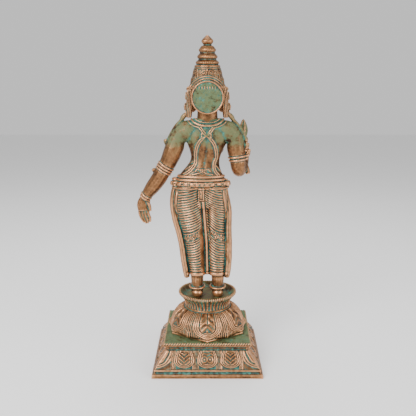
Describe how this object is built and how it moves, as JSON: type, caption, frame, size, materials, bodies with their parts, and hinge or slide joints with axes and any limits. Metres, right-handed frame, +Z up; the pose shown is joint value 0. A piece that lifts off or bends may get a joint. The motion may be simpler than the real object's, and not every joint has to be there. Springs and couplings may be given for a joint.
{
  "type": "standing goddess statue",
  "caption": "Cast bronze standing goddess with a raised lotus bud and a disc behind her tall crown, on a petalled lotus base and a square stepped plinth.",
  "frame": {"origin": "centre of the plinth's flat square underside, which stands on the surface", "axes": "+Z up through the figure; she faces -Y; +X is her left side, where the arm hangs down; the plinth's sides are parallel to X and Y"},
  "size_m": [0.1184, 0.1016, 0.305],
  "materials": {
    "figure_bronze": "brown cast bronze, worn bright on the raised edges, green verdigris in the hollows",
    "lotus_bronze": "brown cast bronze with green verdigris between the petals",
    "plinth_bronze": "brown cast bronze with mottled green verdigris on the flats"
  },
  "bodies": {
    "root": {"sridevi_figure": "figure_bronze", "lotus_pedestal": "lotus_bronze", "square_plinth": "plinth_bronze"}
  },
  "joints": []
}
